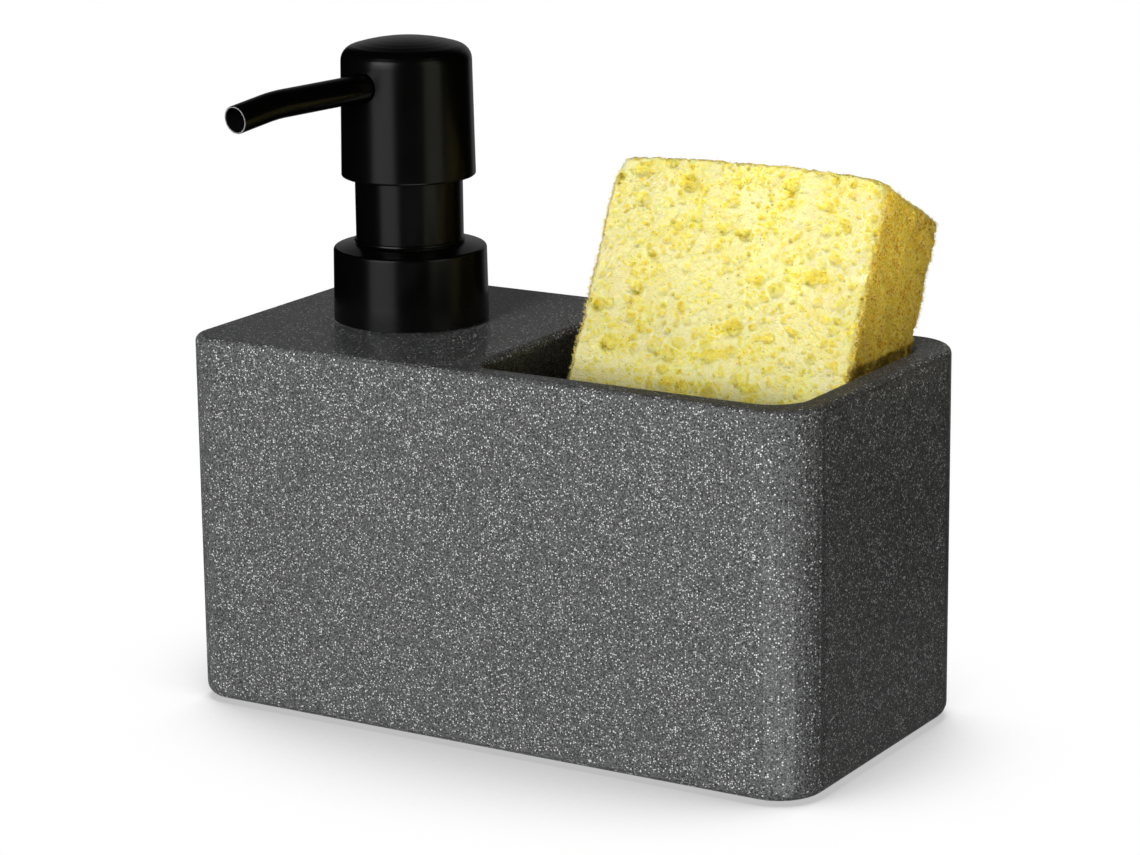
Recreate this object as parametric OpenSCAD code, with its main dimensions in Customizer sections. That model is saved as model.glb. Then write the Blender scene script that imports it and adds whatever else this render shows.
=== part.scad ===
// Sink-side caddy: a cast stone-effect block with a soap reservoir, a screw-on
// lotion pump and an open compartment in which a sponge leans.
// Lengths are in millimetres. The origin is the centre of the underside of the
// foam pad, +X runs to the sponge's end, -Y is the front and +Z is up.

/* [Block] */
// Length of the block, left to right
body_l = 165.2; // [150:0.2:200]
// Width of the block, front to back
body_w = 83; // [78:0.2:110]
// Height of the block, without the pad under it
body_h = 89.5; // [80:0.5:115]
// Outer walls round the reservoir and the compartment
wall = 7.2; // [5.6:0.1:9]
// Wall between the reservoir and the compartment
divider = 9; // [6:0.1:14]
// Inner length of the sponge compartment, left to right
bay_l = 80.8; // [76:0.2:90]
// Thickness of the block under the sponge compartment
bay_floor = 8.1; // [6:0.1:14]
// Thickness of the top over the reservoir
roof = 8; // [6:0.1:12]
// Radius of the two upright corners at the pump's end
corner_r_left = 8; // [6:0.1:14]
// Radius of the two upright corners at the sponge's end
corner_r_right = 12; // [8:0.1:20]
// Radius of the upright corners inside the compartment, by the divider
bay_r_left = 5; // [4.5:0.1:8]
// Radius of the upright corners inside the compartment, at the outer end
bay_r_right = 8.5; // [5:0.1:12]
// Rounding round the foot of the block
foot_r = 3.4; // [1:0.1:5]
// Rounding of the outer top edge
brow_r = 1.8; // [0.8:0.1:3]
// Rounding of the compartment's rim
rim_r = 1.8; // [0.8:0.1:3]
// Rounding between the compartment's floor and its walls
bay_floor_r = 4; // [2:0.1:4.4]

/* [Underside] */
// Thickness of the foam pad
pad_t = 1.5; // [1.2:0.1:3]
// How far the pad stands below the block
pad_proud = 0.5; // [0.3:0.1:1]
// Thickness of the glued plate that closes the reservoir
plate_t = 4; // [2.5:0.1:6]
// Width of the ledge that the plate is glued to
plate_ledge = 1.6; // [1:0.1:2.5]
// Radius of the reservoir's upright corners
tank_r = 6; // [3:0.1:12]

/* [Neck] */
// Outer radius of the neck, under its thread
neck_r = 12.5; // [11.5:0.05:13]
// Wall of the neck
neck_t = 2.1; // [1.5:0.05:2.6]
// Height of the neck above the block
neck_h = 13.2; // [11:0.1:16]
// How far the neck's glued plug stands out past the neck
neck_plug_step = 1.5; // [0.8:0.05:2.2]
// How far the neck's flange, let into the top, stands out past its plug
neck_flange_step = 2; // [1:0.05:2.8]
// Thickness of the neck's flange
neck_flange_t = 2; // [1.5:0.1:3]
// How far the neck's plug reaches below the roof
neck_plug_down = 2; // [1:0.1:5]
// Thickness of the washer on the neck
gasket_t = 1; // [0.8:0.1:2]

/* [Collar] */
// Room for the thread between the neck and the screw cap
thread_room = 1.45; // [1.2:0.05:2]
// Wall of the screw cap, without its ribs
cap_t = 2.25; // [1.2:0.05:3]
// Height of the screw cap's ribs, which fill the space to the shell
cap_rib_h = 1.2; // [0.6:0.1:1.6]
// How much the collar's radius narrows to its shoulder
collar_taper = 0.25; // [0:0.05:0.5]
// Gap between the collar's foot and the block
collar_gap = 0.6; // [0.4:0.1:1.5]
// Wall of the collar shell
collar_t = 0.9; // [0.7:0.05:1.2]
// Rounding of the collar's shoulder
collar_shoulder_r = 0.8; // [0.5:0.05:1.2]
// Rise of the collar's top from its shoulder to the sleeve
collar_rise = 0.9; // [0.3:0.1:1.5]
// Thickness of the screw cap's top
cap_top_t = 1.4; // [1:0.1:2.5]
// Number of ribs on the screw cap that grip the collar shell
cap_ribs = 24; // [12:1:36]

/* [Pump] */
// Outer radius of the fixed sleeve
sleeve_r = 12.85; // [12.6:0.05:13]
// Wall of the fixed sleeve
sleeve_t = 0.9; // [0.7:0.05:1.1]
// Stroke of the head
stroke = 14; // [8:0.1:16]
// Length of sleeve that still shows under the pressed head
sleeve_left = 1.8; // [0.6:0.1:6]
// Length of sleeve hidden in the raised head
sleeve_hidden = 4; // [2:0.1:10]
// Radius of the barrel's bore
barrel_bore_r = 6; // [5.5:0.05:6.6]
// Wall of the barrel
barrel_t = 1.3; // [1:0.05:1.5]
// Radius of the stem
stem_r = 3.5; // [3:0.05:3.7]
// Radius of the stem's bore
stem_bore_r = 1.8; // [1.2:0.05:2]
// Height of the piston
piston_h = 6.2; // [5:0.1:7]
// Diameter of the spring's wire
wire_d = 0.9; // [0.7:0.05:1]
// Number of curls in the spring
spring_curls = 7; // [5:1:7]
// Radius of the inlet ball
ball_r = 2.4; // [2.2:0.05:2.6]
// Lift of the inlet ball
ball_lift = 1.5; // [1:0.1:1.8]
// Outer radius of the dip tube
dip_r = 3; // [2.8:0.05:3.2]
// Wall of the dip tube
dip_t = 0.8; // [0.6:0.05:1]
// Gap between the dip tube's tip and the reservoir's floor
dip_gap = 3; // [2:0.5:10]

/* [Head] */
// Clearance between the sleeve and the head's bore
head_slack = 0.45; // [0.3:0.05:0.8]
// Thickness of the head's side at its lower edge
head_t = 2.7; // [1.6:0.05:3.6]
// How much the head narrows up to its shoulder
head_taper = 0.45; // [0:0.05:0.6]
// Rounding of the head's shoulder
head_shoulder_r = 3.7; // [2:0.1:4.4]
// Slope of the crown where it meets the shoulder, in degrees
crown_slope = 17; // [6:0.5:20]
// Depth of the spout's axis below the crown
spout_depth = 10.3; // [9.6:0.1:11]
// Direction of the spout from the front towards the left, in degrees
spout_turn = 8.3; // [-30:0.1:30]
// Outer radius of the spout
spout_r = 3.28; // [3:0.02:3.4]
// Wall of the spout tube
spout_t = 0.45; // [0.4:0.05:0.6]
// Distance from the pump's axis to the start of the bend
spout_straight = 42; // [30:0.5:50]
// Radius of the bend, at the tube's axis
bend_r = 48; // [30:1:80]
// Angle of the bend, in degrees
bend_angle = 7.6; // [4:0.2:30]
// Straight length between the bend and the mouth
spout_end = 9.7; // [4:0.1:15]
// Gap round the spout in the hole that it leaves the head by
spout_hole_gap = 0.45; // [0.3:0.05:0.8]
// Distance of the inner tube's end from the mouth
liner_back = 6.5; // [3:0.1:10]

/* [Sponge] */
// Thickness of the sponge
sponge_t = 31; // [20:0.5:36]
// Length of the sponge, along its lean
sponge_len = 122.4; // [90:0.2:140]
// Rounding of the sponge's edges
sponge_r = 2.6; // [1.5:0.1:4]
// Gap between the sponge's right side and the compartment's end
sponge_right_gap = 3.2; // [1:0.1:6]
// Gap between the sponge's left side and the divider
sponge_left_gap = 6.2; // [3:0.1:20]
// How far the sponge's faces swell between its edges
sponge_swell = 0.5; // [0.1:0.1:1.5]
// How far the sponge's top end swells, in its middle
sponge_crown = 1; // [0.2:0.1:3]

/* [Hidden] */
$fn = 96;

// Clearances and the overrun of a cut
glue_gap = 0.1;      // between a glued piece and its recess
press_gap = 0.03;    // between a pressed piece and its bore
run_gap = 0.06;      // between a sliding piece and its bore
seat_gap = 0.3;      // between pieces of different bodies that seat on each other
overrun = 1;

// Segments of an arc, of a corner, of a tube's section and of a curl
arc_steps = 6;
corner_steps = 8;
tube_sides = 28;
wire_sides = 6;
curl_rings = 8;

// Heights and sides of the block
under_z = pad_proud;
top_z = under_z + body_h;
tank_floor_z = under_z + pad_t - pad_proud + plate_t;
roof_z = top_z - roof;
bay_floor_z = under_z + bay_floor;
bay_x1 = body_l / 2 - wall;
bay_x0 = bay_x1 - bay_l;
bay_w = body_w - 2 * wall;
tank_x0 = wall - body_l / 2;
tank_x1 = bay_x0 - divider;
tank_l = tank_x1 - tank_x0;
tank_x = (tank_x0 + tank_x1) / 2;
plate_l = tank_l + 2 * plate_ledge;
plate_w = bay_w + 2 * plate_ledge;
pad_inset = 1.6;
pad_margin = foot_r + pad_inset;
pad_l = body_l - 2 * pad_margin;
pad_w = body_w - 2 * pad_margin;
pad_r = corner_r_right - foot_r;

// The pump stands on the middle of the reservoir
pump_x = tank_x;

// Radii and heights of the neck and the collar
neck_bore_r = neck_r - neck_t;
neck_plug_r = neck_r + neck_plug_step;
neck_flange_r = neck_plug_r + neck_flange_step;
cap_bore_r = neck_r + thread_room;
cap_r = cap_bore_r + cap_t;
cap_rib_r = cap_r + cap_rib_h;
collar_inner_r = cap_rib_r + press_gap;
collar_r = collar_inner_r + collar_t + collar_taper;
neck_top_z = top_z + neck_h;
neck_foot_z = roof_z - neck_plug_down;
gasket_top_z = neck_top_z + gasket_t;
flange_t = 1.4;
flange_top_z = gasket_top_z + flange_t;
cap_top_z = flange_top_z + glue_gap + cap_top_t;
collar_top_z = cap_top_z + collar_t;
collar_hole_r = 10.1;
sleeve_bead = 0.45;
collar_crest_r = sleeve_r + sleeve_bead;
collar_crest_z = collar_top_z + collar_rise;
cap_inset = 0.9;
cap_foot_z = top_z + collar_gap + cap_inset;

// Pump cylinder: its neck stands up through the cap, its tail takes the dip tube
throat_gap = 0.5;
throat_r = collar_hole_r - throat_gap;
sleeve_foot_z = collar_crest_z + seat_gap;
sleeve_web_t = 1.5;
throat_top_z = sleeve_foot_z + sleeve_web_t;
barrel_r = barrel_bore_r + barrel_t;
guide_step = 1.8;
guide_bore_r = barrel_bore_r + guide_step;
guide_inset = 0.4;
guide_foot_z = gasket_top_z + guide_inset;
guide_flange_t = 1.6;
guide_tower_r = 5.6;
guide_tower_h = 6;
flange_r = neck_r - glue_gap;
gasket_bore_r = barrel_r + seat_gap;
piston_top_z = guide_foot_z - seat_gap;
piston_foot_z = piston_top_z - piston_h;
spring_seat_t = 1.2;
spring_top_z = piston_foot_z - spring_seat_t - run_gap;
spring_rest = 24.6;
barrel_foot_z = spring_top_z - spring_rest - run_gap;
cage_gap = 0.55;
cage_r = ball_r + cage_gap;
cage_h = 5.6;
valve_z = barrel_foot_z - cage_h;
valve_share = 0.84;
valve_r = ball_r * valve_share;
ball_gap = 0.1;
ball_z = valve_z + sqrt(ball_r * ball_r - valve_r * valve_r) + ball_gap;
lip_bite = 0.12;
lip_r = ball_r - lip_bite;
lip_z = ball_z + ball_lift + sqrt(ball_r * ball_r - lip_r * lip_r) + 2 * ball_gap;
lip_t = 0.6;
tail_wall = 1.3;
tail_r = dip_r + press_gap + tail_wall;
tail_h = 11;
valve_seat_t = 2;
tail_foot_z = valve_z - valve_seat_t - tail_h;
dip_grip = 8.5;
dip_top_z = tail_foot_z + dip_grip;
dip_foot_z = tank_floor_z + dip_gap;
dip_cut = 30;

// Head: its foot stands a stroke above its lowest place, and its core clears the
// sleeve's top when it is pressed
head_foot_z = sleeve_foot_z + sleeve_left + stroke;
sleeve_top_z = head_foot_z + sleeve_hidden;
core_room = 0.5;
core_cover_t = 1.3;
core_web_t = 0.9;
core_foot_z = sleeve_top_z + stroke + core_room;
spout_z = core_foot_z + core_web_t + spout_r;
core_top_z = spout_z + spout_r + core_cover_t;
head_top_z = spout_z + spout_depth;
head_bore_r = sleeve_r + head_slack;
head_r = head_bore_r + head_t;
head_side_r = head_r - head_taper;
crown_join_r = head_side_r - head_shoulder_r * (1 - sin(crown_slope));
crown_r = crown_join_r / sin(crown_slope);
crown_rise = crown_r * (1 - cos(crown_slope));
shoulder_z = head_top_z - crown_rise - head_shoulder_r * cos(crown_slope);
core_r = head_bore_r - press_gap;
core_boss_t = 2.1;
core_boss_h = 7.5;
core_boss_r = stem_r + core_boss_t;
core_boss_z = core_foot_z - core_boss_h;
stem_grip = 1.2;
stem_top_z = core_foot_z + stem_grip;
stem_foot_z = piston_foot_z + seat_gap;
stem_plug_t = 1.4;
port_r = 0.9;
port_z = stem_foot_z + stem_plug_t + port_r;
vent_r = 0.6;
vent_z = (piston_foot_z + piston_top_z) / 2;
spout_root = 5;
spout_hole_r = spout_r + spout_hole_gap;
head_edge_r = 0.5;

// Inner tube of the spout
liner_r = spout_r - spout_t - press_gap;
liner_t = 0.8;

// The sponge's front foot edge lies in the fillet between floor and front wall,
// clear of the upright corner at the right, and its back leans on the rim.
// tan(lean) follows from those contacts.
sponge_w = bay_l - sponge_right_gap - sponge_left_gap;
foot_tuck = (bay_floor_r - sponge_r - seat_gap) * cos(45);
foot_wall_gap = max(sponge_r + seat_gap, bay_floor_r - foot_tuck);
foot_corner_x = max(0, bay_r_right - sponge_right_gap - sponge_r);
foot_corner_r = bay_r_right - foot_wall_gap;
foot_corner_gap = bay_r_right - sqrt(max(0, foot_corner_r * foot_corner_r - foot_corner_x * foot_corner_x));
sponge_front_y = max(foot_wall_gap, foot_corner_gap) - bay_w / 2;
sponge_foot_z = bay_floor_z + foot_wall_gap;
lean_depth = bay_w / 2 + rim_r - sponge_front_y;
lean_height = top_z - rim_r - sponge_foot_z;
lean_slack = sponge_r + rim_r + seat_gap;
sponge_core_t = sponge_t - 2 * sponge_r;
function lean_of(a, n) =
    n == 0 ? a
    : lean_of(atan2(lean_depth - sponge_core_t * cos(a) - lean_slack / cos(a), lean_height), n - 1);
lean_passes = 12;
lean = lean_of(0, lean_passes);
sponge_x = bay_x1 - sponge_right_gap - sponge_w / 2;
sponge_rows = 12;
sponge_corner_steps = 6;

// Points of an arc about [x, y]
function arc(x, y, r, from, to) =
    [for (i = [0:arc_steps]) let (a = from + (to - from) * i / arc_steps) [x + r * cos(a), y + r * sin(a)]];

// One corner of a rounded outline, its centre drawn in by the radius
function corner(x, y, r, from) =
    [for (i = [0:corner_steps]) let (a = from + 90 * i / corner_steps) [x + r * cos(a), y + r * sin(a)]];

// Ring of a rounded block between x0 and x1, grown by g, at height z
function block_ring(x0, x1, w, r_left, r_right, g, z) =
    [for (p = concat(
        corner(x1 - r_right, w / 2 - r_right, r_right + g, 0),
        corner(x0 + r_left, w / 2 - r_left, r_left + g, 90),
        corner(x0 + r_left, r_left - w / 2, r_left + g, 180),
        corner(x1 - r_right, r_right - w / 2, r_right + g, 270))) [p[0], p[1], z]];

// Solid through a stack of rings of equal length, counterclockwise seen from the
// last one. A closed one runs from the last ring back to the first.
module loft(rings, closed = false) {
    n = len(rings[0]);
    m = len(rings);
    spans = closed ? m : m - 1;
    sides = [for (j = [0:spans - 1], i = [0:n - 1])
        let (k = (i + 1) % n, u = ((j + 1) % m) * n, d = j * n)
        each [[d + i, u + i, u + k], [d + i, u + k, d + k]]];
    caps = closed ? [] : [[for (i = [0:n - 1]) i], [for (i = [n - 1:-1:0]) (m - 1) * n + i]];
    polyhedron(points = [for (r = rings) each r], faces = concat(sides, caps));
}

// Upright extrusion of an outline with round corners
module rounded_plate(x0, x1, w, r_left, r_right, z0, z1) {
    translate([0, 0, z0])
        linear_extrude(z1 - z0) {
            for (side = [-1, 1]) {
                translate([x0 + r_left, side * (w / 2 - r_left)])
                    circle(r = r_left);
                translate([x1 - r_right, side * (w / 2 - r_right)])
                    circle(r = r_right);
            }
            translate([x0 + r_left, -w / 2])
                square([x1 - x0 - r_left - r_right, w]);
            translate([x0, r_left - w / 2])
                square([r_left + r_right, w - 2 * r_left]);
            translate([x1 - r_left - r_right, r_right - w / 2])
                square([r_left + r_right, w - 2 * r_right]);
        }
}

// Places what turns about the pump's axis
module at_pump() {
    translate([pump_x, 0, 0])
        children();
}

module ring_solid(r_out, r_in, z0, z1) {
    rotate_extrude()
        polygon([[r_in, z0], [r_out, z0], [r_out, z1], [r_in, z1]]);
}

// The cast block, with its compartment, its reservoir and the hole for the neck
module caddy_body() {
    outer = concat(
        [for (i = [0:arc_steps]) let (a = 90 * i / arc_steps)
            block_ring(-body_l / 2, body_l / 2, body_w, corner_r_left, corner_r_right,
                -foot_r * (1 - sin(a)), under_z + foot_r * (1 - cos(a)))],
        [for (i = [0:arc_steps]) let (a = 90 * i / arc_steps)
            block_ring(-body_l / 2, body_l / 2, body_w, corner_r_left, corner_r_right,
                -brow_r * (1 - cos(a)), top_z - brow_r * (1 - sin(a)))]);
    bay = concat(
        [for (i = [0:arc_steps]) let (a = 90 * i / arc_steps)
            block_ring(bay_x0, bay_x1, bay_w, bay_r_left, bay_r_right,
                -bay_floor_r * (1 - sin(a)), bay_floor_z + bay_floor_r * (1 - cos(a)))],
        [for (i = [0:arc_steps]) let (a = 90 * i / arc_steps)
            block_ring(bay_x0, bay_x1, bay_w, bay_r_left, bay_r_right,
                rim_r * (1 - cos(a)), top_z - rim_r * (1 - sin(a)))],
        [block_ring(bay_x0, bay_x1, bay_w, bay_r_left, bay_r_right, rim_r, top_z + overrun)]);
    color([0.35, 0.36, 0.37])
        difference() {
            loft(outer);
            loft(bay);
            rounded_plate(tank_x0, tank_x1, bay_w, tank_r, tank_r, under_z, roof_z);
            rounded_plate(tank_x - plate_l / 2, tank_x + plate_l / 2, plate_w,
                tank_r + plate_ledge, tank_r + plate_ledge, under_z, tank_floor_z);
            rounded_plate(-pad_l / 2, pad_l / 2, pad_w, pad_r, pad_r,
                under_z - overrun, under_z + pad_t - pad_proud);
            at_pump() {
                translate([0, 0, roof_z - overrun])
                    cylinder(r = neck_plug_r, h = roof + 2 * overrun);
                translate([0, 0, top_z - neck_flange_t])
                    cylinder(r = neck_flange_r, h = neck_flange_t + overrun);
            }
        }
}

// Plate glued on its ledge, closing the reservoir from below
module base_plate() {
    color([0.3, 0.31, 0.32])
        rounded_plate(tank_x - plate_l / 2 + glue_gap, tank_x + plate_l / 2 - glue_gap,
            plate_w - 2 * glue_gap, tank_r + plate_ledge - glue_gap, tank_r + plate_ledge - glue_gap,
            tank_floor_z - plate_t, tank_floor_z);
}

// Foam sheet let into the underside
module base_pad() {
    color([0.12, 0.12, 0.12])
        rounded_plate(seat_gap - pad_l / 2, pad_l / 2 - seat_gap, pad_w - 2 * seat_gap,
            pad_r - seat_gap, pad_r - seat_gap, under_z - pad_proud, under_z + pad_t - pad_proud);
}

// Moulded neck: plug with glue grooves, flange let into the top, neck above
module neck_insert() {
    groove = 0.6;
    plug_r = neck_plug_r - glue_gap;
    grip_h = roof + neck_plug_down - neck_flange_t;
    groove_zs = [for (i = [1:2]) neck_foot_z + grip_h * i / 3];
    color([0.15, 0.15, 0.16])
        at_pump()
            difference() {
                rotate_extrude()
                    polygon([
                        [neck_bore_r, neck_foot_z],
                        [plug_r, neck_foot_z],
                        [plug_r, top_z - neck_flange_t],
                        [neck_flange_r - glue_gap, top_z - neck_flange_t],
                        [neck_flange_r - glue_gap, top_z],
                        [neck_r, top_z],
                        [neck_r, neck_top_z],
                        [neck_bore_r, neck_top_z]]);
                for (z = groove_zs)
                    ring_solid(neck_plug_r + overrun, plug_r - groove, z - groove, z + groove);
            }
}

// Cover shell: slightly tapered wall, rounded shoulder, top that rises to the sleeve
module collar_shell() {
    foot_z = top_z + collar_gap;
    top_r = collar_r - collar_taper;
    color([0.07, 0.07, 0.07])
        at_pump()
            rotate_extrude()
                polygon(concat(
                    [[collar_r - collar_t, foot_z], [collar_r, foot_z]],
                    arc(top_r - collar_shoulder_r, collar_top_z - collar_shoulder_r,
                        collar_shoulder_r, 0, 90),
                    [[collar_crest_r, collar_crest_z],
                     [collar_hole_r, collar_crest_z],
                     [collar_hole_r, cap_top_z],
                     [collar_inner_r, cap_top_z]]));
}

// Screw cap pressed into the shell, gripped by its ribs
module screw_cap() {
    rib_w = 0.9;
    color([0.2, 0.2, 0.21])
        at_pump()
            difference() {
                union() {
                    translate([0, 0, cap_foot_z])
                        cylinder(r = cap_r, h = cap_top_z - cap_foot_z);
                    for (i = [0:cap_ribs - 1])
                        rotate([0, 0, 360 * i / cap_ribs])
                            translate([cap_r - rib_w, -rib_w / 2, cap_foot_z])
                                cube([rib_w + cap_rib_h, rib_w, cap_top_z - cap_foot_z]);
                }
                translate([0, 0, cap_foot_z - overrun])
                    cylinder(r = cap_bore_r, h = cap_top_z - cap_top_t - cap_foot_z + overrun);
                translate([0, 0, cap_foot_z])
                    cylinder(r = collar_hole_r, h = cap_top_z - cap_foot_z + overrun);
            }
}

module neck_gasket() {
    color([0.85, 0.85, 0.82])
        at_pump()
            ring_solid(flange_r, gasket_bore_r, neck_top_z, gasket_top_z);
}

// Barrel with its clamping flange, throat, ball cage, valve seat, dip-tube tail
// and the vent that the raised piston closes
module pump_cylinder() {
    cone_run = 1.2;
    cone_h = barrel_r - tail_r + cone_run;
    color([0.9, 0.9, 0.88])
        at_pump()
            difference() {
                rotate_extrude()
                    polygon([
                        [dip_r + press_gap, tail_foot_z],
                        [tail_r, tail_foot_z],
                        [tail_r, valve_z - valve_seat_t + barrel_t],
                        [barrel_r, valve_z - valve_seat_t + barrel_t + cone_h],
                        [barrel_r, gasket_top_z],
                        [flange_r, gasket_top_z],
                        [flange_r, flange_top_z],
                        [throat_r, flange_top_z],
                        [throat_r, throat_top_z],
                        [guide_bore_r, throat_top_z],
                        [guide_bore_r, guide_foot_z],
                        [barrel_bore_r, guide_foot_z],
                        [barrel_bore_r, barrel_foot_z],
                        [cage_r, barrel_foot_z],
                        [cage_r, lip_z + lip_t],
                        [lip_r, lip_z + lip_t],
                        [lip_r, lip_z],
                        [cage_r, lip_z],
                        [cage_r, valve_z],
                        [valve_r, valve_z],
                        [valve_r, valve_z - valve_seat_t],
                        [dip_r + press_gap, valve_z - valve_seat_t]]);
                translate([0, 0, vent_z])
                    rotate([0, 90, 0])
                        cylinder(r = vent_r, h = barrel_r + overrun);
            }
}

// Plug that closes the barrel, with the tower that guides the stem
module stem_guide() {
    rest_r = sleeve_r - sleeve_t - seat_gap;
    flange_z = throat_top_z + guide_flange_t;
    color([0.9, 0.9, 0.88])
        at_pump()
            rotate_extrude()
                polygon([
                    [stem_r + run_gap, guide_foot_z],
                    [guide_bore_r - press_gap, guide_foot_z],
                    [guide_bore_r - press_gap, throat_top_z],
                    [rest_r, throat_top_z],
                    [rest_r, flange_z],
                    [guide_tower_r, flange_z],
                    [guide_tower_r, flange_z + guide_tower_h],
                    [stem_r + run_gap, flange_z + guide_tower_h]]);
}

// Fixed sleeve with its foot bead and the web that clamps it to the throat
module guide_sleeve() {
    bead = sleeve_bead;
    color([0.07, 0.07, 0.07])
        at_pump()
            rotate_extrude()
                polygon(concat(
                    [[throat_r + press_gap, sleeve_foot_z]],
                    arc(sleeve_r, sleeve_foot_z + bead, bead, -90, 90),
                    [[sleeve_r, sleeve_top_z],
                     [sleeve_r - sleeve_t, sleeve_top_z],
                     [sleeve_r - sleeve_t, throat_top_z],
                     [throat_r + press_gap, throat_top_z]]));
}

// Wire spring as one tube along a helix
module return_spring() {
    helix_r = barrel_bore_r - wire_d;
    rise = spring_rest - wire_d;
    pitch = rise / spring_curls;
    echo(spring_gap = pitch - wire_d);
    rings = [for (i = [0:spring_curls * curl_rings])
        let (a = 360 * i / curl_rings, z = barrel_foot_z + run_gap + wire_d / 2 + pitch * i / curl_rings)
        [for (k = [0:wire_sides - 1])
            let (b = 360 * k / wire_sides, r = helix_r + wire_d / 2 * cos(b))
            [r * cos(a), r * sin(a), z - wire_d / 2 * sin(b)]]];
    color([0.75, 0.76, 0.78])
        at_pump()
            loft(rings);
}

// Suction tube, cut aslant at its tip
module dip_tube() {
    color([0.9, 0.92, 0.92])
        at_pump()
            difference() {
                translate([0, 0, dip_foot_z])
                    cylinder(r = dip_r, h = dip_top_z - dip_foot_z);
                translate([0, 0, dip_foot_z - overrun])
                    cylinder(r = dip_r - dip_t, h = dip_top_z - dip_foot_z + 2 * overrun);
                translate([-dip_r, 0, dip_foot_z])
                    rotate([0, -dip_cut, 0])
                        translate([-4 * dip_r, -2 * dip_r, -4 * dip_r])
                            cube([16 * dip_r, 4 * dip_r, 4 * dip_r]);
            }
}

module inlet_ball() {
    color([0.75, 0.76, 0.78])
        at_pump()
            translate([0, 0, ball_z])
                sphere(r = ball_r);
}

// Piston: a hub on the stem and a lip that flares to the barrel at each end
module piston() {
    lip_edge = 0.4;
    lip_slope = 1.5;
    web = 0.3;
    seal_r = barrel_bore_r - run_gap;
    hub_share = 0.45;
    hub_r = stem_r + run_gap + (seal_r - stem_r - run_gap) * hub_share;
    color([0.93, 0.93, 0.9])
        at_pump()
            rotate_extrude()
                polygon([
                    [stem_r + run_gap, piston_foot_z],
                    [hub_r, piston_foot_z],
                    [hub_r, piston_foot_z + lip_slope],
                    [seal_r - lip_edge, piston_foot_z],
                    [seal_r, piston_foot_z],
                    [seal_r, piston_foot_z + lip_edge],
                    [hub_r + web, piston_foot_z + lip_edge + lip_slope],
                    [hub_r + web, piston_top_z - lip_edge - lip_slope],
                    [seal_r, piston_top_z - lip_edge],
                    [seal_r, piston_top_z],
                    [seal_r - lip_edge, piston_top_z],
                    [hub_r, piston_top_z - lip_slope],
                    [hub_r, piston_top_z],
                    [stem_r + run_gap, piston_top_z]]);
}

// Disc between spring and piston, with holes that let the soap past
module spring_seat() {
    holes = 6;
    hole_r = 0.65;
    color([0.93, 0.93, 0.9])
        at_pump()
            difference() {
                translate([0, 0, piston_foot_z - spring_seat_t])
                    cylinder(r = barrel_bore_r - seat_gap, h = spring_seat_t);
                for (i = [0:holes - 1])
                    rotate([0, 0, 360 * i / holes])
                        translate([stem_r, 0, piston_foot_z - spring_seat_t - overrun])
                            cylinder(r = hole_r, h = spring_seat_t + 2 * overrun);
            }
}

// Hollow shaft, closed at its foot, with two ports that the piston covers
module stem() {
    color([0.9, 0.9, 0.88])
        at_pump()
            difference() {
                translate([0, 0, stem_foot_z])
                    cylinder(r = stem_r, h = stem_top_z - stem_foot_z);
                translate([0, 0, stem_foot_z + stem_plug_t])
                    cylinder(r = stem_bore_r, h = stem_top_z - stem_foot_z);
                translate([-stem_r - overrun, 0, port_z])
                    rotate([0, 90, 0])
                        cylinder(r = port_r, h = 2 * stem_r + 2 * overrun);
            }
}

// Turns what lies along the spout, drawn along +X, to the spout's direction
module at_spout() {
    at_pump()
        translate([0, 0, spout_z])
            rotate([0, 0, -90 - spout_turn])
                children();
}

// Core of the head: joins the stem's bore to the spout
module actuator_core() {
    color([0.12, 0.12, 0.12])
        difference() {
            at_pump() {
                translate([0, 0, core_foot_z])
                    cylinder(r = core_r, h = core_top_z - core_foot_z);
                translate([0, 0, core_boss_z])
                    cylinder(r = core_boss_r, h = core_foot_z - core_boss_z + overrun);
            }
            at_pump() {
                translate([0, 0, core_boss_z - overrun])
                    cylinder(r = stem_r + press_gap, h = stem_top_z - core_boss_z + overrun);
                translate([0, 0, core_boss_z])
                    cylinder(r = stem_bore_r, h = spout_z - core_boss_z);
            }
            at_spout() {
                translate([spout_root, 0, 0])
                    rotate([0, 90, 0])
                        cylinder(r = spout_r + press_gap, h = core_r);
                rotate([0, 90, 0])
                    cylinder(r = stem_bore_r, h = spout_root + overrun);
            }
        }
}

// Press head: drawn shell with a tapered side, round shoulder and crowned top
module head_shell() {
    crown = [for (i = [0:arc_steps]) let (a = crown_slope * (1 - i / arc_steps))
        [crown_r * sin(a), head_top_z - crown_r * (1 - cos(a))]];
    color([0.07, 0.07, 0.07])
        difference() {
            at_pump()
                rotate_extrude()
                    polygon(concat(
                        [[head_bore_r, head_foot_z]],
                        arc(head_r - head_edge_r, head_foot_z + head_edge_r, head_edge_r, -90, 0),
                        arc(head_side_r - head_shoulder_r, shoulder_z, head_shoulder_r, 0, 90 - crown_slope),
                        [for (i = [1:arc_steps]) crown[i]],
                        [[0, core_top_z], [head_bore_r, core_top_z]]));
            at_spout()
                translate([core_r - overrun, 0, 0])
                    rotate([0, 90, 0])
                        cylinder(r = spout_hole_r, h = head_r - core_r + 2 * overrun);
        }
}

// Places along the spout: distance from the axis, drop and downward angle
function spout_path(back) = concat(
    [[spout_root, 0, 0], [spout_straight, 0, 0]],
    [for (i = [1:arc_steps]) let (a = bend_angle * i / arc_steps)
        [spout_straight + bend_r * sin(a), -bend_r * (1 - cos(a)), a]],
    [let (s = spout_end - back)
        [spout_straight + bend_r * sin(bend_angle) + s * cos(bend_angle),
         -bend_r * (1 - cos(bend_angle)) - s * sin(bend_angle), bend_angle]]);

function tube_ring(p, r) = [for (k = [0:tube_sides - 1]) let (b = 360 * k / tube_sides)
    [p[0] + r * sin(b) * sin(p[2]), r * cos(b), p[1] + r * sin(b) * cos(p[2])]];

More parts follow.
